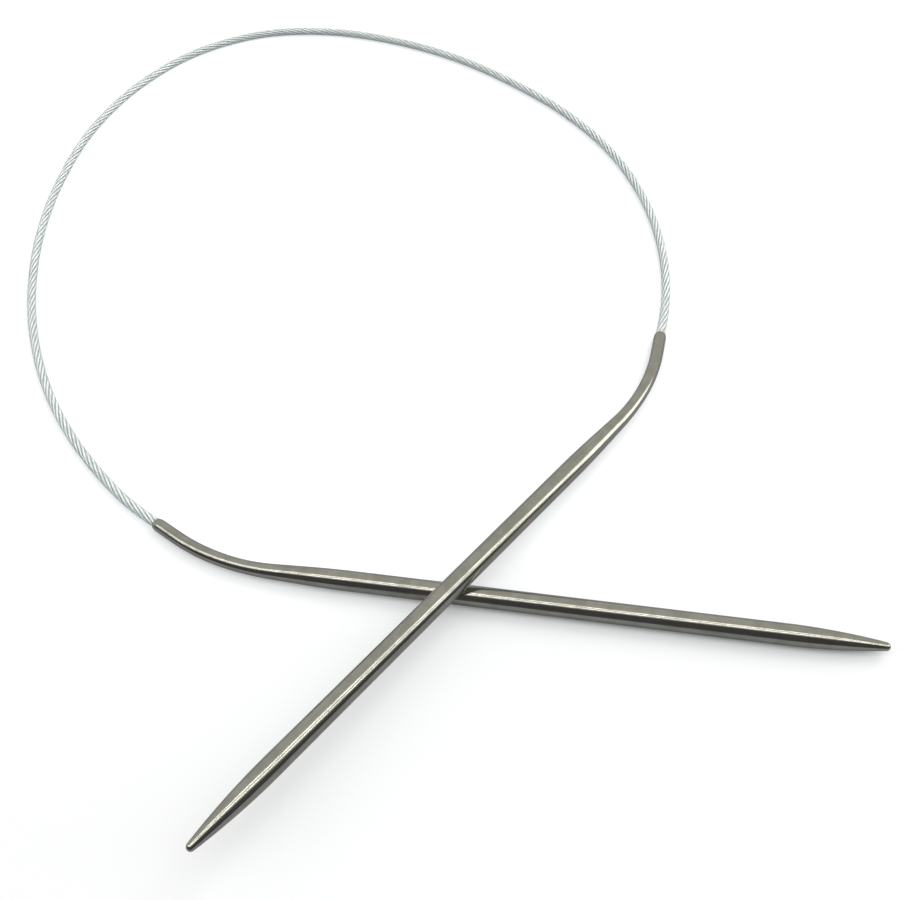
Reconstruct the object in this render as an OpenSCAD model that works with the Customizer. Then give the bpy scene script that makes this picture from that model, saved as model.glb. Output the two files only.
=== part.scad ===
// Fixed circular knitting needle: two polished steel tube needles with bent necks,
// joined by a twisted wire rope in a clear coating. The pair lies on a table, one
// needle crossing over the other, with the rope in its own relaxed loop.

/* [Needle] */
// Diameter of the straight shank, which sets the stitch size
needle_d = 4; // [3.5:0.25:5]
// Length of the straight shank, from the shoulder to the start of the point
shank_length = 80.5; // [70:0.5:100]
// Length of the curved point, from the end of the shank to the tip
point_length = 18; // [14:1:22]
// Radius of the blunt end of the point
tip_r = 0.8; // [0.6:0.05:1]
// Wall of the steel tube along the shank
shank_wall = 0.5; // [0.4:0.05:0.8]
// Solid length that the closed point has at its tip
point_solid = 9; // [7:0.5:11]

/* [Neck] */
// Length over which the tube swells from the neck to the shoulder
taper_length = 15.5; // [12:0.5:20]
// Outer diameter of the neck, swaged down over the cable
neck_d = 2.75; // [2.6:0.05:3.1]
// Radius that the centre line of the neck is bent to
bend_r = 48; // [36:1:60]
// Angle that the neck is bent through
bend_angle = 27; // [20:1:30]
// Straight length between the bend and the mouth
mouth_length = 6; // [4:0.5:8]
// Length of the rounded nose at the mouth
nose_length = 1.2; // [0.8:0.1:1.6]
// Width of the flat rim that the nose leaves round the bore
rim = 0.1; // [0.05:0.01:0.15]

/* [Cable] */
// Diameter of the cable over its clear coating
cable_d = 2; // [1.6:0.1:2.1]
// Thickness of the clear coating
coating = 0.22; // [0.15:0.01:0.3]
// Length of cable that each neck grips
grip_length = 14; // [10:1:18]
// Gap between the cable and the bore that grips it
grip_gap = 0.05; // [0.03:0.01:0.08]

/* [Resting pose] */
// Distance from the left needle's shoulder to the crossing
cross_left = 21.5; // [16:0.5:38]
// Distance from the right needle's shoulder to the crossing
cross_right = 34.5; // [28:0.5:46]
// Angle between the two crossed shanks
cross_angle = 58.5; // [50:0.5:65]
// Clear gap between the two shanks where they cross
cross_gap = 0.6; // [0.3:0.05:1]

/* [Hidden] */
round_steps = 64;
arc_steps = 1440;
$fn = round_steps;

// Radii, and the hair of clearance that keeps the rope and its coating two solids
coating_gap = 0.03;
shank_r = needle_d / 2;
shank_bore_r = shank_r - shank_wall;
neck_r = neck_d / 2;
cable_r = cable_d / 2;
neck_bore_r = cable_r + grip_gap;
rim_r = neck_bore_r + rim;
rope_r = cable_r - coating - coating_gap;

// The point is an arc that leaves the shank without a step and rolls into the round tip
needle_reach = shank_length + point_length;
tip_centre = point_length - tip_r;
point_arc_r = (pow(tip_centre, 2) + pow(shank_r, 2) - pow(tip_r, 2)) / (2 * (shank_r - tip_r));
point_arc_end = point_arc_r * tip_centre / (point_arc_r - tip_r);

// So are the taper behind the shoulder, down to the neck, and the nose, down to the rim
function arc_radius(length, drop) = (pow(length, 2) + pow(drop, 2)) / (2 * drop);
taper_arc_r = arc_radius(taper_length, shank_r - neck_r);
nose_arc_r = arc_radius(nose_length, neck_r - rim_r);

// The bend is a hair slimmer than the straight stretches and reaches a little into them
seam_step = 0.02;
seam_angle = 0.6;

// How far a cut runs past the face that it opens
cut = 0.5;

// Neck in the needle's own plane: shoulder at the origin, point along +X, neck bent towards +Y
bend_start = -taper_length;
mouth_x = bend_start - bend_r * sin(bend_angle) - mouth_length * cos(bend_angle);
mouth_y = bend_r * (1 - cos(bend_angle)) + mouth_length * sin(bend_angle);

// Both needles lie in parallel planes that lean together, so that the right needle
// rests over the left one's shank and, just behind its nose, a hair above the table
layer = needle_d + cross_gap;
foot_gap = 0.01;
right_mouth_u = cross_left + cross_right * cos(cross_angle)
    - mouth_x * cos(cross_angle) - mouth_y * sin(cross_angle);
right_mouth_v = cross_right * sin(cross_angle)
    - mouth_x * sin(cross_angle) + mouth_y * cos(cross_angle);
foot_v = right_mouth_v - nose_length * sin(cross_angle + bend_angle);
lean = acos((neck_r + foot_gap - shank_r) / norm([layer, foot_v])) - atan2(foot_v, layer);

// Corners of the two needles, which put the origin under the middle of their box
west = mouth_x - rim_r * sin(bend_angle);
east = needle_reach;
right_tip_v = (cross_right - needle_reach + tip_r) * sin(cross_angle);
south = right_tip_v * cos(lean) + layer * sin(lean) - tip_r;
mouth_rise = sin(cross_angle + bend_angle) * cos(lean);
north = right_mouth_v * cos(lean) + layer * sin(lean) + rim_r * sqrt(1 - pow(mouth_rise, 2));
shoulder_at = [-(west + east) / 2, -(south + north) / 2, shank_r];

// Row frame position and direction of something given in the leaning needle plane
function leaned(p) = [
    p[0],
    p[1] * cos(lean) + p[2] * sin(lean),
    p[2] * cos(lean) - p[1] * sin(lean),
];
left_mouth = shoulder_at + leaned([mouth_x, mouth_y, 0]);
left_way = leaned([-cos(bend_angle), sin(bend_angle), 0]);
right_mouth = shoulder_at + leaned([right_mouth_u, right_mouth_v, layer]);
right_way = leaned([cos(cross_angle + bend_angle), sin(cross_angle + bend_angle), 0]);

// Free cable on the table, from the left mouth round to the right one, in the row frame
route = [
    [-79.5, 5],
    [-88.5, 11.5],
    [-104, 26],
    [-116.5, 43],
    [-126, 62],
    [-132.5, 82.5],
    [-135.5, 103.5],
    [-135, 124.5],
    [-129, 145],
    [-117, 162.5],
    [-99, 173.5],
    [-78, 176],
    [-57.5, 172.5],
    [-37.5, 165],
    [-19, 154],
    [-2.5, 141],
    [11.5, 125],
    [21.5, 106],
    [27, 85.5],
    [28, 72],
];
// Longest step between the rings along the cable, and the sides of each ring
ring_gap = 3.2 * cable_d;
cable_sides = 8;

// The whole centre line, which leaves each mouth a little above the table
path = concat([left_mouth], [for (p = route) [p[0], p[1], cable_r]], [right_mouth]);
last = len(path) - 1;

// Direction of the centre line at a path point: the neck's own at a mouth, and
// elsewhere level on the table, from the chords on its two sides
function course(i) =
    i == 0 ? left_way :
    i == last ? -right_way :
    let (
        back = path[i] - path[i - 1],
        ahead = path[i + 1] - path[i],
        way = back * norm(ahead) / norm(back) + ahead * norm(back) / norm(ahead)
    )
    [way[0], way[1], 0] / (norm(back) + norm(ahead));

// Point and direction on the smooth curve from path point i to the next one, t from 0 to 1
function curve_point(i, t) =
    let (reach = norm(path[i + 1] - path[i]))
    path[i] * (1 + t * t * (2 * t - 3)) + path[i + 1] * t * t * (3 - 2 * t)
    + reach * t * (1 - t) * (course(i) * (1 - t) - course(i + 1) * t);
function curve_way(i, t) =
    let (reach = norm(path[i + 1] - path[i]))
    (path[i + 1] - path[i]) * 6 * t * (1 - t)
    + reach * (course(i) * (1 - t) * (1 - 3 * t) + course(i + 1) * t * (3 * t - 2));

// Stations along the cable: [place, direction]
stations = [
    for (i = [0 : last - 1])
        let (steps = ceil(norm(path[i + 1] - path[i]) / ring_gap))
        for (k = [0 : steps - (i == last - 1 ? 0 : 1)])
            [curve_point(i, k / steps), curve_way(i, k / steps)],
];

// One ring of points round a station, starting level with it
function ring(station, r) =
    let (
        way = station[1] / norm(station[1]),
        side = cross([0, 0, 1], way) / norm(cross([0, 0, 1], way)),
        up = cross(way, side)
    )
    [for (k = [0 : cable_sides - 1])
        let (turn = k * 360 / cable_sides)
        station[0] + r * (cos(turn) * side + sin(turn) * up)];

// Triangles of the wall between ring a and ring b, of which b comes later on the cable
function wall_faces(a, b) = [
    for (k = [0 : cable_sides - 1])
        let (n = (k + 1) % cable_sides)
        for (f = [[a + k, b + k, b + n], [a + k, b + n, a + n]]) f,
];
function flipped(faces) = [for (f = faces) [f[2], f[1], f[0]]];
function wall(first) = [
    for (i = [0 : len(stations) - 2])
        for (f = wall_faces(first + i * cable_sides, first + (i + 1) * cable_sides)) f,
];

// Solid tube along the whole free cable
module swept_rod(r) {
    end_ring = (len(stations) - 1) * cable_sides;
    polyhedron(
        points = [for (s = stations) each ring(s, r)],
        faces = concat(
            wall(0),
            [for (k = [1 : cable_sides - 2]) [0, k, k + 1]],
            [for (k = [1 : cable_sides - 2]) [end_ring, end_ring + k + 1, end_ring + k]]
        ),
        convexity = 10
    );
}

// Hollow tube along the whole free cable
module swept_tube(outer, inner) {
    count = len(stations) * cable_sides;
    end_ring = count - cable_sides;
    polyhedron(
        points = [
            for (s = stations) each ring(s, outer),
            for (s = stations) each ring(s, inner),
        ],
        faces = concat(
            wall(0),
            flipped(wall(count)),
            flipped(wall_faces(0, count)),
            wall_faces(end_ring, count + end_ring)
        ),
        convexity = 10
    );
}

// Places a shape drawn along +Z so that it runs along the shank towards the point
module along_shank() {
    rotate([0, 90, 0]) children();
}

// Places a shape drawn along +Z at the end of the bend, so that it runs out of the mouth
module at_mouth_end() {
    translate([bend_start - bend_r * sin(bend_angle), bend_r * (1 - cos(bend_angle)), 0])
        rotate([0, 0, -bend_angle])
            rotate([0, -90, 0])
                children();
}

// Round bar that follows the bend back from the mouth end through the given angle
module bent_bar(r, angle) {
    translate([bend_start, bend_r, 0])
        rotate([0, 0, -90 - bend_angle - seam_angle])
            rotate_extrude(angle = angle + 2 * seam_angle, $fn = arc_steps)
                translate([bend_r, 0])
                    circle(r - seam_step, $fn = round_steps);
}

// Half outline that narrows along +Y from the given radius, as an arc without a step
module arc_outline(r, arc_r, length) {
    intersection() {
        translate([r - arc_r, 0]) circle(arc_r, $fn = arc_steps);
        square([r, length]);
    }
}

// Outside of the steel tube, solid
module needle_body() {
    along_shank() rotate_extrude() {
        mirror([0, 1]) arc_outline(shank_r, taper_arc_r, taper_length);
        square([shank_r, shank_length]);
        translate([0, shank_length]) {
            arc_outline(shank_r, point_arc_r, point_arc_end);
            intersection() {
                translate([0, tip_centre]) circle(tip_r);
                translate([0, tip_centre - tip_r]) square(2 * tip_r);
            }
        }
    }
    bent_bar(neck_r, bend_angle);
    at_mouth_end() rotate_extrude() {
        square([neck_r, mouth_length - nose_length]);
        translate([0, mouth_length - nose_length])
            arc_outline(neck_r, nose_arc_r, nose_length);
    }
}

// Hollow inside the steel tube, open at the mouth and closed in the point
module needle_hollow() {
    along_shank() rotate_extrude() polygon([
        [0, -taper_length],
        [neck_bore_r, -taper_length],
        [shank_bore_r, 0],
        [shank_bore_r, shank_length],
        [0, needle_reach - point_solid],
    ]);
    bent_bar(neck_bore_r, bend_angle);
    at_mouth_end() cylinder(h = mouth_length + cut, r = neck_bore_r);
}

module needle() {
    difference() {
        needle_body();
        needle_hollow();
    }
}

// Round bar that fills the gripped length of the neck and runs past both ends of it
module gripped_bar(r, past = 0) {
    reach = grip_length - mouth_length + past;
    bent_bar(r, reach / bend_r * 180 / PI - seam_angle);
    at_mouth_end() cylinder(h = mouth_length + past, r = r);
}

// End of the cable held in a neck: the wire rope with its coating round it
module cable_end() {
    gripped_bar(rope_r);
    difference() {
        gripped_bar(cable_r);
        gripped_bar(rope_r + coating_gap, cut);
    }
}

// Puts a shape from the left needle's own plane where that needle lies
module left_place() {
    translate(shoulder_at) rotate([-lean, 0, 0]) children();
}

// Puts a shape from the right needle's own plane where that needle lies: turned over,
// so that its neck bends the other way, and one layer above the left needle
module right_place() {
    left_place()
        translate([
            cross_left + cross_right * cos(cross_angle),
            cross_right * sin(cross_angle),
            layer,
        ])
            rotate([0, 0, 180 + cross_angle])
                rotate([180, 0, 0])
                    children();
}

module left_needle() {
    color("dimgray") left_place() needle();
}

module right_needle() {
    color("dimgray") right_place() needle();
}

module wire_rope() {
    color("silver") swept_rod(rope_r);
}

module clear_coating() {
    color("lightsteelblue", 0.4) swept_tube(cable_r, cable_r - coating);
}

module left_cable_end() {
    color("lightgray") left_place() cable_end();
}

module right_cable_end() {
    color("lightgray") right_place() cable_end();
}

left_needle();
right_needle();
wire_rope();
clear_coating();
left_cable_end();
right_cable_end();
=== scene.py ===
"""Dresses the circular knitting needle: two polished steel needles on a coated wire rope.

Sizes are in millimetres, in each piece's own frame, until a piece is placed in the row
frame in metres.
"""

import logging
import math
from dataclasses import dataclass, field
from enum import Enum

import bmesh
import bpy
import numpy as np
from mathutils import Matrix, Vector


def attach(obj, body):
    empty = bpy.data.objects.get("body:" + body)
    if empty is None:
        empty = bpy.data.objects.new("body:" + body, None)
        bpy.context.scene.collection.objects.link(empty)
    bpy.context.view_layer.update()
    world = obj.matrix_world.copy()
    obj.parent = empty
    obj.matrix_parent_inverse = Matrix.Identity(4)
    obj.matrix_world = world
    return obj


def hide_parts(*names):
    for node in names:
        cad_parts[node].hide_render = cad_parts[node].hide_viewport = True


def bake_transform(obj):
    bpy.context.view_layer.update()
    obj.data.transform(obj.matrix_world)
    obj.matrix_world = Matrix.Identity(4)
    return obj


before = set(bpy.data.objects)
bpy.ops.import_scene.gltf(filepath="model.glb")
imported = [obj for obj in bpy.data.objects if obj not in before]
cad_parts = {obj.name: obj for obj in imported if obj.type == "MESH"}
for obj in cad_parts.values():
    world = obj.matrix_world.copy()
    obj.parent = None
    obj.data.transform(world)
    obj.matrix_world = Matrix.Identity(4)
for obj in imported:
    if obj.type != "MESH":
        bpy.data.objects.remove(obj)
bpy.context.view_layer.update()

LOG = logging.getLogger("circular_needle")
MM = 0.001

Colour = tuple[float, float, float]
Outline = list[tuple[float, float]]


class Side(Enum):
    """Which of the two needles, or which half of the cable."""

    LEFT = "left"
    RIGHT = "right"


# ---------------------------------------------------------------- sizes


@dataclass(frozen=True)
class NeedleSizes:
    """Sizes of one needle, the same as in the part's source, in millimetres."""

    shank_r: float = 2.0
    shank_length: float = 80.5
    point_length: float = 18.0
    tip_r: float = 0.8
    bend_from: float = 15.5
    taper_from: float = 23.6
    neck_r: float = 1.36
    bend_r: float = 48.0
    bend_angle: float = math.radians(27.0)
    mouth_length: float = 6.0
    nose_length: float = 1.2
    rim: float = 0.1
    bore_r: float = 1.05
    bore_depth: float = 13.5

    @property
    def mouth_at(self) -> float:
        """Place of the mouth along the needle before its neck is bent, from the shoulder."""
        return -self.bend_from - self.bend_r * self.bend_angle - self.mouth_length

    @property
    def mouth_way(self) -> Vector:
        """Direction in which the cable leaves the mouth."""
        return Vector((-math.cos(self.bend_angle), math.sin(self.bend_angle), 0.0))

    @property
    def mouth(self) -> Vector:
        """Centre of the mouth.

        Returns:
            The point in the needle's own frame.
        """
        turned = Vector((-math.sin(self.bend_angle), 1 - math.cos(self.bend_angle), 0.0))
        start = Vector((-self.bend_from, 0.0, 0.0))
        return start + self.bend_r * turned + self.mouth_length * self.mouth_way


@dataclass(frozen=True)
class RestingPose:
    """How the two needles lie, the same as in the part's source."""

    cross_left: float = 21.5
    cross_right: float = 34.5
    cross_angle: float = math.radians(58.5)
    layer: float = 4.6
    lean: float = math.radians(4.340492302474907)
    shoulder: tuple[float, float, float] = (-27.670163896335534, -8.008004380133425, 2.0)

    def place(self, side: Side) -> Matrix:
        """Matrix from a needle's own frame in millimetres to the row frame in metres.

        Args:
            side: Which needle.

        Returns:
            The 4 by 4 matrix.
        """
        left = Matrix.Translation(Vector(self.shoulder)) @ Matrix.Rotation(-self.lean, 4, "X")
        if side is Side.LEFT:
            return Matrix.Scale(MM, 4) @ left
        crossing = Vector(
            (
                self.cross_left + self.cross_right * math.cos(self.cross_angle),
                self.cross_right * math.sin(self.cross_angle),
                self.layer,
            )
        )
        over = Matrix.Rotation(math.pi, 4, "X")
        turned = Matrix.Rotation(math.pi + self.cross_angle, 4, "Z") @ over
        return Matrix.Scale(MM, 4) @ left @ Matrix.Translation(crossing) @ turned


@dataclass(frozen=True)
class CableSizes:
    """Sizes of the cable in millimetres, with its route on the table in the row frame."""

    radius: float = 1.0
    rope_r: float = 0.75
    strands: int = 6
    strand_lay: float = 15.0
    wires: int = 6
    wire_lay: float = 4.5
    # Depth shares between which painted shade grows in the valleys of the strands.
    proud_share: float = 0.98
    sunk_share: float = 0.76
    route: tuple[tuple[float, float], ...] = (
        (-79.5, 5),
        (-88.5, 11.5),
        (-104, 26),
        (-116.5, 43),
        (-126, 62),
        (-132.5, 82.5),
        (-135.5, 103.5),
        (-135, 124.5),
        (-129, 145),
        (-117, 162.5),
        (-99, 173.5),
        (-78, 176),
        (-57.5, 172.5),
        (-37.5, 165),
        (-19, 154),
        (-2.5, 141),
        (11.5, 125),
        (21.5, 106),
        (27, 85.5),
        (28, 72),
    )

    @property
    def strand_r(self) -> float:
        """Radius of a strand: three strands lie side by side across the rope."""
        return self.rope_r / 3

    @property
    def wire_r(self) -> float:
        """Radius of a wire: three wires lie side by side across a strand."""
        return self.strand_r / 3


# ---------------------------------------------------------------- node helpers


class Shader:
    """A material's or a group's node tree, with short calls to fill it."""

    def __init__(self, tree: bpy.types.NodeTree) -> None:
        """Keeps the tree and clears it."""
        self.tree = tree
        tree.nodes.clear()

    def node(self, kind: str, **values: object) -> bpy.types.Node:
        """Adds a node.

        Args:
            kind: The node's Blender type.
            values: Attributes of the node to set.

        Returns:
            The node.
        """
        made = self.tree.nodes.new(kind)
        for name, value in values.items():
            setattr(made, name, value)
        return made

    def link(self, out: bpy.types.NodeSocket, into: bpy.types.NodeSocket) -> None:
        """Joins two sockets."""
        self.tree.links.new(out, into)

    def math(self, kind: str, a: object, b: object = 0.0, c: object = 0.0) -> bpy.types.NodeSocket:
        """Adds a Math node.

        Args:
            kind: Its operation.
            a: First input, a socket or a number.
            b: Second input.
            c: Third input.

        Returns:
            Its output socket.
        """
        made = self.node("ShaderNodeMath", operation=kind)
        for i, value in enumerate((a, b, c)):
            if isinstance(value, bpy.types.NodeSocket):
                self.link(value, made.inputs[i])
            else:
                made.inputs[i].default_value = float(value)
        return made.outputs[0]

    def spread(
        self, value: bpy.types.NodeSocket, span: tuple[float, float, float, float]
    ) -> bpy.types.NodeSocket:
        """Maps a value smoothly from one range to another.

        Args:
            value: The socket to map.
            span: From low, from high, to low, to high.

        Returns:
            The mapped socket.
        """
        made = self.node("ShaderNodeMapRange", interpolation_type="SMOOTHSTEP")
        self.link(value, made.inputs["Value"])
        for name, number in zip(("From Min", "From Max", "To Min", "To Max"), span):
            made.inputs[name].default_value = number
        return made.outputs["Result"]

    def mix(self, factor: object, a: object, b: object) -> bpy.types.NodeSocket:
        """Mixes two colours.

        Args:
            factor: A socket or a number, 0 for a and 1 for b.
            a: A socket or a colour.
            b: A socket or a colour.

        Returns:
            The mixed colour's socket.
        """
        made = self.node("ShaderNodeMix", data_type="RGBA")
        for i, value in ((0, factor), (6, a), (7, b)):
            if isinstance(value, bpy.types.NodeSocket):
                self.link(value, made.inputs[i])
            elif i == 0:
                made.inputs[i].default_value = float(value)
            else:
                made.inputs[i].default_value = (*value, 1.0)
        return made.outputs[2]

    def split(self, vector: bpy.types.NodeSocket) -> bpy.types.NodeOutputs:
        """Splits a vector.

        Args:
            vector: The socket to split.

        Returns:
            The sockets of its X, Y and Z.
        """
        made = self.node("ShaderNodeSeparateXYZ")
        self.link(vector, made.inputs[0])
        return made.outputs

    def noise(
        self, vector: bpy.types.NodeSocket, scale: bpy.types.NodeSocket, detail: float, rough: float
    ) -> bpy.types.NodeSocket:
        """Adds a noise texture.

        Args:
            vector: Where it is read.
            scale: The socket that sets its scale.
            detail: Number of finer layers.
            rough: Share of the finer layers.

        Returns:
            Its value's socket.
        """
        made = self.node("ShaderNodeTexNoise")
        made.inputs["Detail"].default_value = detail
        made.inputs["Roughness"].default_value = rough
        self.link(vector, made.inputs["Vector"])
        self.link(scale, made.inputs["Scale"])
        return made.outputs[0]

    def object_place(self) -> bpy.types.NodeSocket:
        """Reads the place on the object, in metres."""
        return self.node("ShaderNodeTexCoord").outputs["Object"]

    def object_millimetres(self) -> bpy.types.NodeSocket:
        """Reads the place on the object in millimetres.

        Returns:
            The scaled place's socket.
        """
        scaled = self.node("ShaderNodeVectorMath", operation="SCALE")
        scaled.inputs["Scale"].default_value = 1 / MM
        self.link(self.object_place(), scaled.inputs[0])
        return scaled.outputs[0]


# ---------------------------------------------------------------- effects

# The noise's span that becomes a mask from 0 to 1.
SCRATCHED = (0.52, 0.72, 0.0, 1.0)
SMUDGED = (0.35, 0.7, 0.0, 1.0)


def effect_group(
    name: str, inputs: dict[str, float], outputs: tuple[str, ...]
) -> tuple[Shader, bpy.types.Node, bpy.types.Node]:
    """Starts a shader node group that several materials can place.

    Args:
        name: The group's name.
        inputs: Number inputs with their defaults, after a Vector input.
        outputs: Number outputs.

    Returns:
        The group's shader helper, its input node and its output node.
    """
    tree = bpy.data.node_groups.new(name, "ShaderNodeTree")
    tree.interface.new_socket("Vector", in_out="INPUT", socket_type="NodeSocketVector")
    for title, value in inputs.items():
        socket = tree.interface.new_socket(title, in_out="INPUT", socket_type="NodeSocketFloat")
        socket.default_value = value
    for title in outputs:
        tree.interface.new_socket(title, in_out="OUTPUT", socket_type="NodeSocketFloat")
    shader = Shader(tree)
    return shader, shader.node("NodeGroupInput"), shader.node("NodeGroupOutput")


def hairlines_group() -> bpy.types.NodeTree:
    """Builds the fine handling scratches that run nearly along a needle.

    Returns:
        The group, with outputs Mask and Height.
    """
    s, into, out = effect_group(
        "hairline_scratches", {"Stretch": 0.06, "Density": 14.0, "Skew": 0.12}, ("Mask", "Height")
    )
    along, across, up = s.split(into.outputs["Vector"])
    slid = s.math("MULTIPLY_ADD", across, into.outputs["Skew"], along)
    joined = s.node("ShaderNodeCombineXYZ")
    s.link(s.math("MULTIPLY", slid, into.outputs["Stretch"]), joined.inputs[0])
    s.link(across, joined.inputs[1])
    s.link(up, joined.inputs[2])
    noise = s.noise(joined.outputs[0], into.outputs["Density"], detail=3.0, rough=0.65)
    s.link(s.spread(noise, SCRATCHED), out.inputs["Mask"])
    s.link(noise, out.inputs["Height"])
    return s.tree


def clouds_group() -> bpy.types.NodeTree:
    """Builds the soft smudges that handling leaves on polished metal.

    Returns:
        The group, with output Mask.
    """
    s, into, out = effect_group("soft_smudges", {"Scale": 0.35}, ("Mask",))
    noise = s.noise(into.outputs["Vector"], into.outputs["Scale"], detail=4.0, rough=0.6)
    s.link(s.spread(noise, SMUDGED), out.inputs["Mask"])
    return s.tree


class Effects:
    """The shared effect groups, each built once."""

    def __init__(self) -> None:
        """Builds the groups."""
        self.hairlines = hairlines_group()
        self.clouds = clouds_group()

    @staticmethod
    def put(
        s: Shader, group: bpy.types.NodeTree, vector: bpy.types.NodeSocket, **values: float
    ) -> bpy.types.NodeOutputs:
        """Places a group in a material.

        Args:
            s: The material's shader helper.
            group: The group.
            vector: What its Vector input reads.
            values: Its number inputs.

        Returns:
            The outputs of the group's node.
        """
        made = s.node("ShaderNodeGroup", node_tree=group)
        s.link(vector, made.inputs["Vector"])
        for name, value in values.items():
            made.inputs[name].default_value = value
        return made.outputs


@dataclass(frozen=True)
class Scratches:
    """One set of handling scratches."""

    stretch: float
    density: float
    skew: float

    def put(
        self, s: Shader, effects: Effects, vector: bpy.types.NodeSocket
    ) -> bpy.types.NodeOutputs:
        """Places the scratches in a material.

        Args:
            s: The material's shader helper.
            effects: The shared effect groups.
            vector: Where the scratches are read.

        Returns:
            The outputs Mask and Height.
        """
        return effects.put(
            s, effects.hairlines, vector, Stretch=self.stretch, Density=self.density, Skew=self.skew
        )


# ---------------------------------------------------------------- finishes


def new_material(name: str) -> tuple[bpy.types.Material, Shader, bpy.types.Node, bpy.types.Node]:
    """Starts a material.

    Args:
        name: Its name.

    Returns:
        The material, its shader helper, its Principled node and its output node.
    """
    material = bpy.data.materials.new(name)
    material.use_nodes = True
    s = Shader(material.node_tree)
    out = s.node("ShaderNodeOutputMaterial")
    principled = s.node("ShaderNodeBsdfPrincipled")
    s.link(principled.outputs[0], out.inputs["Surface"])
    return material, s, principled, out


@dataclass(frozen=True)
class PolishedSteel:
    """Polished needle steel with fine scratches, smudges and a duller crimped neck."""

    colour: Colour = (0.37, 0.368, 0.354)
    smudge: Colour = (0.31, 0.308, 0.294)
    drawn: Colour = (0.245, 0.244, 0.232)
    drawn_share: float = 0.75
    roughness: float = 0.13
    wear: float = 0.05
    smudge_scale: float = 0.3
    crimp: tuple[float, float] = (-39.0, -32.5)
    scratch_depth: float = 0.008
    bump_strength: float = 0.35
    coarse_share: float = 0.7
    fine_scratches: Scratches = Scratches(0.05, 9.0, 0.2)
    coarse_scratches: Scratches = Scratches(0.12, 3.2, -0.35)
    draw_lines: Scratches = Scratches(0.012, 2.1, 0.0)

    def material(self, effects: Effects) -> bpy.types.Material:
        """Builds the material, which reads each point's place on the needle before its bend.

        Args:
            effects: The shared effect groups.

        Returns:
            The material.
        """
        material, s, steel, _ = new_material("needle_steel")
        straight = s.node("ShaderNodeAttribute", attribute_name="straight").outputs["Vector"]
        fine = self.fine_scratches.put(s, effects, straight)
        coarse = self.coarse_scratches.put(s, effects, straight)
        lines = self.draw_lines.put(s, effects, straight)
        smudges = effects.put(s, effects.clouds, straight, Scale=self.smudge_scale)["Mask"]
        crimped = s.spread(s.split(straight)[0], (*self.crimp, 1.0, 0.0))
        tint = s.mix(smudges, self.colour, self.smudge)
        drawn = s.math("MULTIPLY", lines["Mask"], self.drawn_share)
        s.link(s.mix(drawn, tint, self.drawn), steel.inputs["Base Color"])
        steel.inputs["Metallic"].default_value = 1.0
        rough = self.roughness
        for mask in (fine["Mask"], smudges, crimped):
            rough = s.math("MULTIPLY_ADD", mask, self.wear, rough)
        s.link(rough, steel.inputs["Roughness"])
        height = s.math("MULTIPLY_ADD", coarse["Height"], self.coarse_share, fine["Height"])
        bump = s.node("ShaderNodeBump")
        bump.inputs["Strength"].default_value = self.bump_strength
        bump.inputs["Distance"].default_value = self.scratch_depth * MM
        s.link(height, bump.inputs["Height"])
        s.link(bump.outputs[0], steel.inputs["Normal"])
        return material


@dataclass(frozen=True)
class StrandSteel:
    """Bright steel of the rope's wires, with painted shade darkening the valleys between strands.
    """

    bright: Colour = (0.95, 0.975, 1.0)
    # Colour of the painted shade in the valleys between strands, and of the darker wires and
    # clouds.
    dark_and_shaded: Colour = (0.50, 0.535, 0.575)
    roughness: float = 0.34
    metallic: float = 0.2
    cloud_scale: float = 0.8
    cloud_tone: float = 0.3
    cloud_wear: float = 0.1

    def material(self, effects: Effects) -> bpy.types.Material:
        """Builds the material, which reads the painted valley shade and the tone of each wire.

        Args:
            effects: The shared effect groups.

        Returns:
            The material.
        """
        material, s, steel, _ = new_material("rope_steel")
        tone = s.node("ShaderNodeAttribute", attribute_name="tone").outputs["Fac"]
        clouds = effects.put(
            s, effects.clouds, s.object_millimetres(), Scale=self.cloud_scale
        )["Mask"]
        share = s.math("MULTIPLY_ADD", clouds, self.cloud_tone, tone)
        # Mixes towards the darker colour where shade is painted in the valleys, and where wires and
        # clouds are darker.
        s.link(s.mix(share, self.bright, self.dark_and_shaded), steel.inputs["Base Color"])
        steel.inputs["Metallic"].default_value = self.metallic
        rough = s.math("MULTIPLY_ADD", clouds, self.cloud_wear, self.roughness)
        s.link(rough, steel.inputs["Roughness"])
        return material


@dataclass(frozen=True)
class ClearCoating:
    """Clear flexible plastic over the rope, which lets the lamps through."""

    colour: Colour = (0.96, 0.985, 1.0)
    roughness: float = 0.06
    ior: float = 1.47
    scuff_scale: float = 1.4
    scuff_wear: float = 0.08

    def material(self, effects: Effects) -> bpy.types.Material:
        """Builds the material.

        Args:
            effects: The shared effect groups.

        Returns:
            The material.
        """
        material, s, clear, out = new_material("clear_coating")
        scuffs = effects.put(
            s, effects.clouds, s.object_millimetres(), Scale=self.scuff_scale
        )["Mask"]
        clear.inputs["Base Color"].default_value = (*self.colour, 1.0)
        clear.inputs["Transmission Weight"].default_value = 1.0
        clear.inputs["IOR"].default_value = self.ior
        rough = s.math("MULTIPLY_ADD", scuffs, self.scuff_wear, self.roughness)
        s.link(rough, clear.inputs["Roughness"])
        path = s.node("ShaderNodeLightPath")
        through = s.node("ShaderNodeBsdfTransparent")
        through.inputs["Color"].default_value = (*self.colour, 1.0)
        mixer = s.node("ShaderNodeMixShader")
        s.link(path.outputs["Is Shadow Ray"], mixer.inputs[0])
        s.link(clear.outputs[0], mixer.inputs[1])
        s.link(through.outputs[0], mixer.inputs[2])
        s.link(mixer.outputs[0], out.inputs["Surface"])
        return material


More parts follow.
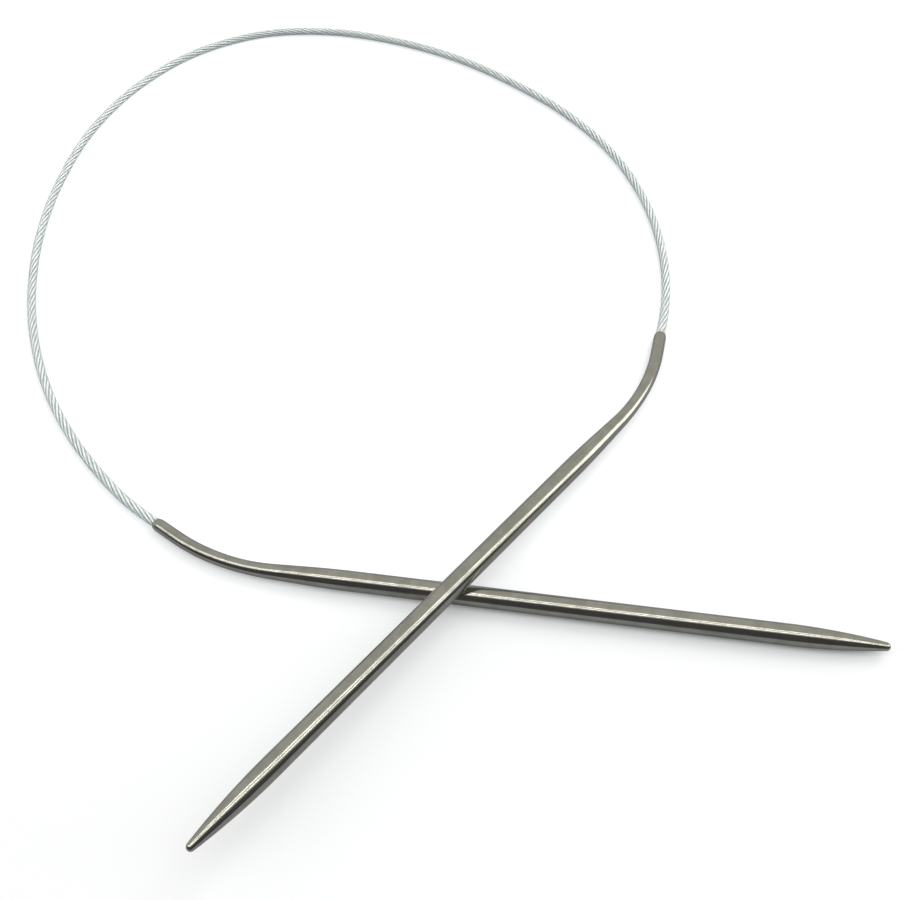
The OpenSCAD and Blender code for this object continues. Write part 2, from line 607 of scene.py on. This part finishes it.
@dataclass(frozen=True)
class PaleFloor:
    """Matt table top that looks white to the camera and through the coating.

    Its base colour is darker where metal mirrors it, as painted shade. Lengths are in metres.
    """

    colour: Colour = (0.70, 0.715, 0.79)
    # Darker colour that metal sees in reflections: painted shade of the floor around the parts.
    mirrored: Colour = (0.42, 0.43, 0.46)
    roughness: float = 0.9
    specular: float = 0.1
    glow: Colour = (0.95, 0.97, 1.0)
    near_glow: float = 0.20
    far_glow: float = 0.38
    glow_lean: float = -0.35
    glow_edge: float = 0.012
    rim_glow: float = 0.75
    rim_span: tuple[float, float] = (0.3, 0.9)

    def material(self) -> bpy.types.Material:
        """Builds the material.

        Returns:
            The material.
        """
        material, s, matt, out = new_material("pale_floor")
        path = s.node("ShaderNodeLightPath")
        # Painted shade: glossy rays see the darker floor colour.
        base = s.mix(path.outputs["Is Glossy Ray"], self.colour, self.mirrored)
        s.link(base, matt.inputs["Base Color"])
        matt.inputs["Roughness"].default_value = self.roughness
        matt.inputs["Specular IOR Level"].default_value = self.specular
        place = s.object_place()
        x, y, _ = s.split(place)
        lean = s.math("MULTIPLY_ADD", x, self.glow_lean, y)
        middle = s.spread(lean, (-self.glow_edge, self.glow_edge, self.near_glow, self.far_glow))
        around = s.node("ShaderNodeVectorMath", operation="LENGTH")
        s.link(place, around.inputs[0])
        rim = s.spread(around.outputs["Value"], (*self.rim_span, 0.0, self.rim_glow))
        glow = s.math("ADD", middle, rim)
        seen = s.math("MAXIMUM", path.outputs["Is Camera Ray"], path.outputs["Is Transmission Ray"])
        emit = s.node("ShaderNodeEmission")
        emit.inputs["Color"].default_value = (*self.glow, 1.0)
        s.link(s.math("MULTIPLY", glow, seen), emit.inputs["Strength"])
        both = s.node("ShaderNodeAddShader")
        s.link(matt.outputs[0], both.inputs[0])
        s.link(emit.outputs[0], both.inputs[1])
        s.link(both.outputs[0], out.inputs["Surface"])
        return material


# ---------------------------------------------------------------- mesh helpers


def deselect() -> None:
    """Deselects every object."""
    if bpy.context.mode != "OBJECT":
        bpy.ops.object.mode_set(mode="OBJECT")
    bpy.ops.object.select_all(action="DESELECT")


def mesh_piece(name: str, verts: np.ndarray, faces: np.ndarray) -> bpy.types.Object:
    """Makes a smooth mesh object from points in metres and quads.

    Args:
        name: The piece's name.
        verts: N by 3 points in the row frame.
        faces: M by 4 point numbers.

    Returns:
        The object.
    """
    mesh = bpy.data.meshes.new(name)
    mesh.from_pydata(verts.tolist(), [], faces.tolist())
    mesh.update()
    mesh.shade_smooth()
    piece = bpy.data.objects.new(name, mesh)
    bpy.context.collection.objects.link(piece)
    return piece


def point_values(piece: bpy.types.Object, name: str, kind: str, values: np.ndarray) -> None:
    """Writes an attribute on a mesh's points.

    Args:
        piece: The mesh object.
        name: The attribute's name.
        kind: FLOAT or FLOAT_VECTOR.
        values: One number or vector per point.
    """
    attribute = piece.data.attributes.new(name, kind, "POINT")
    key = "vector" if kind == "FLOAT_VECTOR" else "value"
    attribute.data.foreach_set(key, np.asarray(values, np.float32).ravel())


# ---------------------------------------------------------------- needle


@dataclass
class Needle:
    """One steel needle, drawn straight ring by ring, bored at its mouth and then bent."""

    side: Side
    sizes: NeedleSizes = field(default_factory=NeedleSizes)
    pose: RestingPose = field(default_factory=RestingPose)
    ring_sides: int = 96
    bends: int = 54
    nose_rings: int = 10
    neck_rings: int = 20
    taper_rings: int = 40
    shank_rings: int = 12
    point_rings: int = 30
    tip_rings: int = 8
    bore_rings: int = 14
    last_r: float = 0.02
    smooth_below: float = math.radians(40)
    # Each ring of the rim: how far it stands out of the mouth, and its share of the rim.
    rim_rings: tuple[tuple[float, float], ...] = (
        (0.015, 0.8),
        (0.015, 0.35),
        (0.0, 0.1),
        (-0.03, 0.0),
    )
    _at: float = 0.0
    _radius: float = 0.0

    def build(self) -> bpy.types.Object:
        """Models the needle and puts it in its place.

        Returns:
            The needle's object.
        """
        deselect()
        self._start()
        for place, radius in self._outside():
            self._ring(place, radius)
        bpy.ops.mesh.merge(type="CENTER")
        self._bore()
        bpy.ops.mesh.select_all(action="SELECT")
        bpy.ops.mesh.normals_make_consistent(inside=False)
        bpy.ops.object.mode_set(mode="OBJECT")
        piece = bpy.context.object
        piece.name = piece.data.name = f"{self.side.value}_needle_steel"
        bpy.ops.object.transform_apply(location=True, rotation=True, scale=True)
        straight = self._note_straight(piece)
        self._bend(straight)
        bpy.ops.object.shade_smooth_by_angle(angle=self.smooth_below)
        piece.matrix_world = self.pose.place(self.side)
        bpy.ops.object.transform_apply(location=True, rotation=True, scale=True)
        deselect()
        return piece

    def _start(self) -> None:
        """Starts with a ring at the outer edge of the mouth's rim."""
        n = self.sizes
        self._at, self._radius = n.mouth_at, n.bore_r + n.rim
        bpy.ops.mesh.primitive_circle_add(
            vertices=self.ring_sides,
            radius=self._radius,
            location=(self._at, 0, 0),
            rotation=(0, math.pi / 2, 0),
            enter_editmode=True,
        )
        bpy.ops.mesh.select_all(action="SELECT")

    def _ring(self, place: float, radius: float) -> None:
        """Extrudes the open ring.

        Args:
            place: Its new place along the needle.
            radius: Its new radius.
        """
        step = place - self._at
        bpy.ops.mesh.extrude_edges_move(TRANSFORM_OT_translate={"value": (step, 0, 0)})
        k = radius / self._radius
        if abs(k - 1) > 1e-9:
            bpy.ops.transform.resize(value=(k, k, k), center_override=(place, 0, 0))
        self._at, self._radius = place, radius

    def _outside(self) -> Outline:
        """Outline of the needle after the rim: nose, neck, taper, shank, point and tip.

        Returns:
            Places along the needle and radii there.
        """
        n = self.sizes
        nose = self._arc(n.neck_r, n.bore_r + n.rim, n.nose_length, self.nose_rings)
        outline = [(n.mouth_at + x, r) for x, r in nose[1:]]
        bare, taper = n.mouth_at + n.nose_length, -n.taper_from
        for k in range(1, self.neck_rings + 1):
            outline.append((bare + (taper - bare) * k / self.neck_rings, n.neck_r))
        for k in range(1, self.taper_rings + 1):
            t = k / self.taper_rings
            radius = n.neck_r + (n.shank_r - n.neck_r) * t * t * (3 - 2 * t)
            outline.append((taper * (1 - t), radius))
        for k in range(1, self.shank_rings + 1):
            outline.append((n.shank_length * k / self.shank_rings, n.shank_r))
        return outline + self._point()

    @staticmethod
    def _arc(wide: float, narrow: float, length: float, steps: int) -> Outline:
        """Outline of an arc that widens from a narrow end and runs out without a step.

        Args:
            wide: Radius where it runs out.
            narrow: Radius at its start.
            length: Its length along the needle.
            steps: Number of rings after the first.

        Returns:
            Distances from its start and radii there.
        """
        drop = wide - narrow
        arc = (length**2 + drop**2) / (2 * drop)
        return [
            (length * k / steps, wide - arc + math.sqrt(arc**2 - (length * (1 - k / steps)) ** 2))
            for k in range(steps + 1)
        ]

    def _point(self) -> Outline:
        """Outline of the curved point and its round tip, up to a last small ring.

        Returns:
            Places along the needle and radii there.
        """
        n = self.sizes
        centre = n.point_length - n.tip_r
        arc = (centre**2 + n.shank_r**2 - n.tip_r**2) / (2 * (n.shank_r - n.tip_r))
        end = arc * centre / (arc - n.tip_r)
        outline = []
        for k in range(1, self.point_rings + 1):
            x = end * k / self.point_rings
            outline.append((x, n.shank_r - arc + math.sqrt(arc**2 - x**2)))
        first = math.asin((end - centre) / n.tip_r)
        for k in range(1, self.tip_rings + 1):
            a = first + (math.pi / 2 - first) * k / (self.tip_rings + 0.5)
            outline.append((centre + n.tip_r * math.sin(a), n.tip_r * math.cos(a)))
        outline.append((n.point_length, self.last_r))
        return [(n.shank_length + x, r) for x, r in outline]

    def _bore(self) -> None:
        """Turns the rim inwards with rounded edges and drives the bore to its end."""
        n = self.sizes
        mesh = bmesh.from_edit_mesh(bpy.context.object.data)
        bpy.ops.mesh.select_all(action="DESELECT")
        bpy.ops.mesh.select_mode(type="EDGE")
        for edge in mesh.edges:
            if edge.is_boundary:
                edge.select_set(True)
        bmesh.update_edit_mesh(bpy.context.object.data)
        self._at, self._radius = n.mouth_at, n.bore_r + n.rim
        for out, share in self.rim_rings:
            self._ring(n.mouth_at - out, n.bore_r + n.rim * share)
        for k in range(1, self.bore_rings + 1):
            self._ring(n.mouth_at + n.bore_depth * k / self.bore_rings, n.bore_r)
        bpy.ops.mesh.edge_face_add()

    @staticmethod
    def _note_straight(piece: bpy.types.Object) -> np.ndarray:
        """Keeps each point's place on the needle before its neck is bent.

        Args:
            piece: The straight needle in its own frame.

        Returns:
            The points.
        """
        points = np.empty(len(piece.data.vertices) * 3, np.float32)
        piece.data.vertices.foreach_get("co", points)
        points = points.reshape(-1, 3)
        point_values(piece, "straight", "FLOAT_VECTOR", points)
        return points

    def _bend(self, straight: np.ndarray) -> None:
        """Bends the neck in small even turns, from the mouth's end towards the shoulder.

        Args:
            straight: The points before the bend.
        """
        n = self.sizes
        turn = n.bend_angle / self.bends
        bpy.ops.object.mode_set(mode="EDIT")
        bpy.ops.mesh.select_mode(type="VERT")
        mesh = bmesh.from_edit_mesh(bpy.context.object.data)
        points = list(mesh.verts)
        for k in range(self.bends - 1, -1, -1):
            place = -n.bend_from - n.bend_r * turn * (k + 0.5)
            bpy.ops.mesh.select_all(action="DESELECT")
            for i in np.flatnonzero(straight[:, 0] < place):
                points[i].select_set(True)
            mesh.select_flush(True)
            bpy.ops.transform.rotate(value=turn, orient_axis="Z", center_override=(place, 0, 0))
        bpy.ops.object.mode_set(mode="OBJECT")


# ---------------------------------------------------------------- cable


@dataclass
class Cable:
    """The coated wire rope, in two halves that meet in the middle of the loop."""

    sizes: CableSizes = field(default_factory=CableSizes)
    needle: NeedleSizes = field(default_factory=NeedleSizes)
    pose: RestingPose = field(default_factory=RestingPose)
    ring_gap: float = 0.3
    coat_sides: int = 48
    bend_reach: float = 85.0
    path_gap: int = 8
    stretch_steps: int = 200
    wire_lobe: float = 62.0
    wire_tones: int = 9
    wire_step: int = 5
    strand_step: int = 7
    tone_share: float = 0.45
    ripple: float = 0.012
    line: np.ndarray = field(default_factory=lambda: np.empty((0, 3)))
    along: np.ndarray = field(default_factory=lambda: np.empty(0))

    def mouth(self, side: Side) -> tuple[np.ndarray, np.ndarray]:
        """Where the cable leaves a needle.

        Args:
            side: Which needle.

        Returns:
            The mouth's centre and the direction out of it, in row millimetres.
        """
        place = self.pose.place(side)
        at = np.array(place @ self.needle.mouth) / MM
        way = np.array(place.to_3x3() @ self.needle.mouth_way) / MM
        return at, way / np.linalg.norm(way)

    def lay(self) -> None:
        """Samples the cable's centre line evenly from the left mouth to the right one."""
        (left, left_way), (right, right_way) = self.mouth(Side.LEFT), self.mouth(Side.RIGHT)
        points = [left, *(np.array([x, y, self.sizes.radius]) for x, y in self.sizes.route), right]
        ways = [left_way]
        for before, here, after in zip(points, points[1:], points[2:]):
            back, ahead = here - before, after - here
            b, a = np.linalg.norm(back), np.linalg.norm(ahead)
            ways.append((back * a / b + ahead * b / a) / (b + a) * np.array([1, 1, 0]))
        ways.append(-right_way)
        dense = []
        for p, q, u, v in zip(points, points[1:], ways, ways[1:]):
            reach = np.linalg.norm(q - p)
            t = np.linspace(0, 1, self.stretch_steps, endpoint=False)[:, None]
            dense.append(
                p * (1 + t * t * (2 * t - 3)) + q * t * t * (3 - 2 * t)
                + reach * t * (1 - t) * (u * (1 - t) - v * t)
            )
        dense = np.concatenate([*dense, right[None]])
        length = np.concatenate([[0], np.cumsum(np.linalg.norm(np.diff(dense, axis=0), axis=1))])
        count = 2 * round(length[-1] / self.ring_gap / 2) + 1
        self.along = np.linspace(0, length[-1], count)
        self.line = np.stack([np.interp(self.along, length, dense[:, i]) for i in range(3)], 1)

    def _frames(self) -> tuple[np.ndarray, np.ndarray]:
        """Finds the directions square to the centre line.

        Returns:
            The sideways and the upward direction at each sample.
        """
        way = np.gradient(self.line, self.along, axis=0)
        way /= np.linalg.norm(way, axis=1)[:, None]
        side = np.cross([0, 0, 1.0], way)
        side /= np.linalg.norm(side, axis=1)[:, None]
        return side, np.cross(way, side)

    @staticmethod
    def _tube(
        centre: np.ndarray, a: np.ndarray, b: np.ndarray, outline: np.ndarray
    ) -> tuple[np.ndarray, np.ndarray]:
        """Sweeps an outline that may change from ring to ring.

        Args:
            centre: Ring centres.
            a: First direction of each ring.
            b: Second direction of each ring.
            outline: Rings by points by 2, in those directions.

        Returns:
            The points and the quads, with the ends left open.
        """
        rings, sides = outline.shape[:2]
        verts = centre[:, None] + outline[..., :1] * a[:, None] + outline[..., 1:] * b[:, None]
        i = np.arange(rings - 1)[:, None] * sides
        k = np.arange(sides)[None]
        n = (k + 1) % sides
        quads = np.stack([i + k, i + n, i + n + sides, i + k + sides], -1).reshape(-1, 4)
        return verts.reshape(-1, 3), quads

    def _half(self, side: Side) -> slice:
        """Which samples belong to a half of the cable.

        Args:
            side: Which half.

        Returns:
            The slice of the samples, with the middle one in both halves.
        """
        middle = len(self.along) // 2
        return slice(0, middle + 1) if side is Side.LEFT else slice(middle, len(self.along))

    def rope(self, side: Side) -> bpy.types.Object:
        """Models the twisted strands of one half, each with its own twisted wires.

        Args:
            side: Which half.

        Returns:
            The rope's object.
        """
        c = self.sizes
        part = self._half(side)
        outline = self._strand_outline()[part]
        verts, faces, shades_and_tones, count = [], [], [], 0
        for k in range(c.strands + 1):
            v, f = self._tube(*(rings[part] for rings in self._strand(k)), outline)
            verts.append(v)
            faces.append(self._capped(f, len(v), outline.shape[1]) + count)
            shades_and_tones.append(self._valley_shade_and_tones(v, k, self.line[part]))
            count += len(v)
        name = f"wire_rope_{side.value}_half"
        piece = mesh_piece(name, np.concatenate(verts) * MM, np.concatenate(faces))
        # The tone attribute holds painted shade in the valleys plus each wire's own tone.
        point_values(piece, "tone", "FLOAT", np.concatenate(shades_and_tones))
        return piece

    @staticmethod
    def _circle(angle: np.ndarray) -> np.ndarray:
        """Points of a circle of radius 1, at the given angles."""
        return np.stack([np.cos(angle), np.sin(angle)], -1)

    def _strand_outline(self) -> np.ndarray:
        """Draws a strand's outline, with three points on each of its twisted wires.

        Returns:
            Rings by points by 2, in the strand's own directions.
        """
        c = self.sizes
        lobes = np.radians([-self.wire_lobe, 0.0, self.wire_lobe])
        spin = -2 * np.pi * self.along / c.wire_lay
        wires = spin[:, None] + 2 * np.pi * np.arange(c.wires) / c.wires
        facing = (wires[..., None] + lobes).reshape(len(spin), -1)
        outline = 2 * c.wire_r * self._circle(np.repeat(wires, len(lobes), axis=1))
        return outline + c.wire_r * self._circle(facing)

    def _strand(self, number: int) -> tuple[np.ndarray, np.ndarray, np.ndarray]:
        """Lays a strand round the core, or the core itself as the last one.

        Args:
            number: The strand's number.

        Returns:
            Its centre line and the two directions of its rings, out of the rope first.
        """
        c = self.sizes
        across, up = self._frames()
        turn = 2 * np.pi * (self.along / c.strand_lay + number / c.strands)
        reach = 0.0 if number == c.strands else 2 * c.strand_r
        out = np.cos(turn)[:, None] * across + np.sin(turn)[:, None] * up
        centre = self.line + reach * out
        way = np.gradient(centre, self.along, axis=0)
        way /= np.linalg.norm(way, axis=1)[:, None]
        out -= (out * way).sum(1)[:, None] * way
        out /= np.linalg.norm(out, axis=1)[:, None]
        return centre, out, np.cross(way, out)

    def _valley_shade_and_tones(self, points: np.ndarray, strand: int, line: np.ndarray) -> np.ndarray:
        """Darkness of a strand's points: painted shade in the valleys, and tone uneven from wire to
        wire.

        Args:
            points: The strand's points, ring after ring.
            strand: The strand's number.
            line: The rope's centre at each ring.

        Returns:
            One tone per point.
        """
        c = self.sizes
        sides = len(points) // len(line)
        deep = np.linalg.norm(points - np.repeat(line, sides, axis=0), axis=1) / c.rope_r
        # Painted shade: points sunk towards the core are darker.
        sunk = np.clip((c.proud_share - deep) / (c.proud_share - c.sunk_share), 0, 1)
        step = np.arange(c.wires) * self.wire_step + strand * self.strand_step
        wires = step % self.wire_tones / self.wire_tones
        tone = np.tile(np.repeat(wires, sides // c.wires), len(line))
        return sunk * sunk * (3 - 2 * sunk) + self.tone_share * tone

    @staticmethod
    def _capped(faces: np.ndarray, points: int, sides: int) -> np.ndarray:
        """Closes both ends of a tube with a strip of quads across each end ring.

        Args:
            faces: The tube's quads.
            points: Number of its points.
            sides: Points in a ring, an even number.

        Returns:
            The quads with the ends closed.
        """
        last = points - sides
        strip = []
        for k in range(sides // 2 - 1):
            a, b, c, d = k, k + 1, sides - 2 - k, sides - 1 - k
            strip.append([a, d, c, b] if b != c else [a, d, c, c])
        ends = np.array(strip)
        return np.concatenate([faces, ends, last + ends[:, ::-1]])

    def coating(self, side: Side) -> bpy.types.Object:
        """Models the clear coating of one half, which follows the strands very faintly.

        Args:
            side: Which half.

        Returns:
            The coating's object.
        """
        c = self.sizes
        part = self._half(side)
        across, up = self._frames()
        around = 2 * np.pi * np.arange(self.coat_sides) / self.coat_sides
        turn = 2 * np.pi * self.along / c.strand_lay
        ripple = self.ripple * (np.cos(c.strands * (around[None] - turn[:, None])) - 1)
        outline = (c.radius + ripple)[..., None] * self._circle(around)[None]
        v, f = self._tube(self.line[part], across[part], up[part], outline[part])
        faces = self._capped(f, len(v), self.coat_sides)
        return mesh_piece(f"clear_coating_{side.value}_half", v * MM, faces)

    def join(self, side: Side, rope: bpy.types.Object, coating: bpy.types.Object) -> None:
        """Bakes one half's place into its strands and coating, and hides the part's own rope and
        coating nodes.

        Args:
            side: Which half.
            rope: Its strands.
            coating: Its coating.
        """
        at, way = self.mouth(side)
        line = self.line[self._half(side)]
        if side is Side.RIGHT:
            line = line[::-1]
        for piece, node, slot in (
            (rope, "wire_rope", "rope_steel"),
            (coating, "clear_coating", "clear_plastic"),
        ):
            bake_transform(piece)
            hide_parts(node)


# ---------------------------------------------------------------- studio


@dataclass(frozen=True)
class StudioCamera:
    """The camera close over the table, with its place in metres and its lens in pixels."""

    place: tuple[float, float, float] = (0.019930, -0.092932, 0.170077)
    right: tuple[float, float, float] = (0.982022, 0.172778, -0.076032)
    down: tuple[float, float, float] = (0.096590, -0.805983, -0.584005)
    focal: float = 999.91
    image_width: float = 900.0
    sensor: float = 36.0
    clip: tuple[float, float] = (0.005, 50.0)

    def add(self) -> None:
        """Adds the camera and makes it the scene's."""
        right, down = Vector(self.right).normalized(), Vector(self.down).normalized()
        forward = right.cross(down)
        data = bpy.data.cameras.new("camera")
        data.sensor_width = self.sensor
        data.sensor_fit = "HORIZONTAL"
        data.lens = self.sensor * (self.focal / self.image_width)
        data.clip_start, data.clip_end = self.clip
        camera = bpy.data.objects.new("camera", data)
        turn = Matrix((right, -down, -forward)).transposed().to_4x4()
        camera.matrix_world = Matrix.Translation(Vector(self.place)) @ turn
        bpy.context.collection.objects.link(camera)
        bpy.context.scene.camera = camera


@dataclass(frozen=True)
class Lamp:
    """One rectangular studio lamp, in metres, which shines against its away direction."""

    name: str
    place: tuple[float, float, float]
    away: tuple[float, float, float]
    along: tuple[float, float, float]
    length: float
    width: float
    radiance: float
    colour: Colour = (1.0, 1.0, 0.9)
    mirrored: bool = True

    def add(self) -> None:
        """Adds the lamp."""
        data = bpy.data.lights.new(self.name, "AREA")
        data.shape = "RECTANGLE"
        data.size, data.size_y = self.length, self.width
        data.energy = self.radiance * math.pi * self.width * self.length
        data.color = self.colour
        back = Vector(self.away).normalized()
        side = back.cross(Vector(self.along)).normalized()
        turn = Matrix((side.cross(back), side, back)).transposed().to_4x4()
        lamp = bpy.data.objects.new(self.name, data)
        lamp.matrix_world = Matrix.Translation(Vector(self.place)) @ turn
        lamp.visible_glossy = self.mirrored
        bpy.context.collection.objects.link(lamp)


# Where the two ceiling tubes hang and which way they run, then the two panels.
OVERHEAD = (0.0197, -0.116, 0.993)
TUBE_WAY = (0.9858, 0.1676, 0.0)
UPRIGHT = (0.0, 0.0, 1.0)
SIDE = (1.064, 0.325, 0.450)
BACK = (0.497, 0.552, 0.669)


@dataclass
class Studio:
    """Floor, world, lamps and camera."""

    floor: PaleFloor = field(default_factory=PaleFloor)
    camera: StudioCamera = field(default_factory=StudioCamera)
    lamps: tuple[Lamp, ...] = (
        Lamp("front_tube", (-0.060, -0.241, 0.980), OVERHEAD, TUBE_WAY, 3.0, 0.07, 5.4),
        Lamp("back_tube", (-0.104, 0.014, 1.011), OVERHEAD, TUBE_WAY, 3.0, 0.07, 5.4),
        Lamp("side_panel", SIDE, SIDE, UPRIGHT, 0.66, 0.56, 2.4),
        Lamp("back_fill", BACK, BACK, UPRIGHT, 0.6, 0.6, 3.0, mirrored=False),
    )
    room: Colour = (0.78, 0.765, 0.665)
    shade: Colour = (0.105, 0.103, 0.10)
    backdrop: Colour = (1.0, 1.0, 1.0)
    shade_way: tuple[float, float, float] = (0.157, -0.893, -0.423)
    shade_edge: tuple[float, float] = (-0.08, 0.07)
    floor_size: float = 6.0

    def build(self) -> None:
        """Sets the whole studio up."""
        self.camera.add()
        for lamp in self.lamps:
            lamp.add()
        self._world()
        self._floor()
        bpy.context.scene.view_settings.view_transform = "Standard"

    def _world(self) -> None:
        """Makes a pale room all round, with its dark side where the viewer stands."""
        world = bpy.data.worlds.new("studio")
        world.use_nodes = True
        s = Shader(world.node_tree)
        out = s.node("ShaderNodeOutputWorld")
        back = s.node("ShaderNodeBackground")
        coords = s.node("ShaderNodeTexCoord")
        dot = s.node("ShaderNodeVectorMath", operation="DOT_PRODUCT")
        s.link(coords.outputs["Generated"], dot.inputs[0])
        dot.inputs[1].default_value = Vector(self.shade_way).normalized()
        dark = s.spread(dot.outputs["Value"], (*self.shade_edge, 0.0, 1.0))
        path = s.node("ShaderNodeLightPath")
        room = s.mix(dark, self.room, self.shade)
        s.link(s.mix(path.outputs["Is Camera Ray"], room, self.backdrop), back.inputs["Color"])
        s.link(back.outputs[0], out.inputs["Surface"])
        bpy.context.scene.world = world

    def _floor(self) -> None:
        """Lays a plain table top under the part."""
        deselect()
        bpy.ops.mesh.primitive_plane_add(size=self.floor_size, location=(0, 0, 0))
        floor = bpy.context.object
        floor.name = "floor"
        floor.data.materials.append(self.floor.material())
        deselect()


# ---------------------------------------------------------------- build


def dress(piece: bpy.types.Object, material: bpy.types.Material) -> None:
    """Gives a piece one material only.

    Args:
        piece: The mesh object.
        material: Its finish.
    """
    piece.data.materials.clear()
    piece.data.materials.append(material)


def dress_cable_ends(steel: bpy.types.Material) -> None:
    """Dresses the gripped ends of the cable, which stay hidden in the necks.

    Args:
        steel: Their finish.
    """
    for side in Side:
        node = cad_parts[f"{side.value}_cable_end"]
        for slot in node.material_slots:
            slot.material = steel


def main() -> None:
    """Builds the studio, the cable and the needles, and reports each piece."""
    logging.basicConfig(level=logging.INFO, format="%(message)s")
    Studio().build()
    effects = Effects()
    steel = PolishedSteel().material(effects)
    strand = StrandSteel().material(effects)
    clear = ClearCoating().material(effects)
    cable = Cable()
    cable.lay()
    LOG.info("free cable %.1f mm", cable.along[-1])
    for side in Side:
        rope, coating = cable.rope(side), cable.coating(side)
        dress(rope, strand)
        dress(coating, clear)
        cable.join(side, rope, coating)
        for piece in (rope, coating):
            LOG.info("%s: %d faces", piece.name, len(piece.data.polygons))
    for side in Side:
        needle = Needle(side).build()
        dress(needle, steel)
        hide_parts(f"{side.value}_needle")
        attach(needle, f"{side.value}_needle")
        LOG.info("%s: %d faces", needle.name, len(needle.data.polygons))
    dress_cable_ends(strand)


if __name__ == "__main__":
    main()
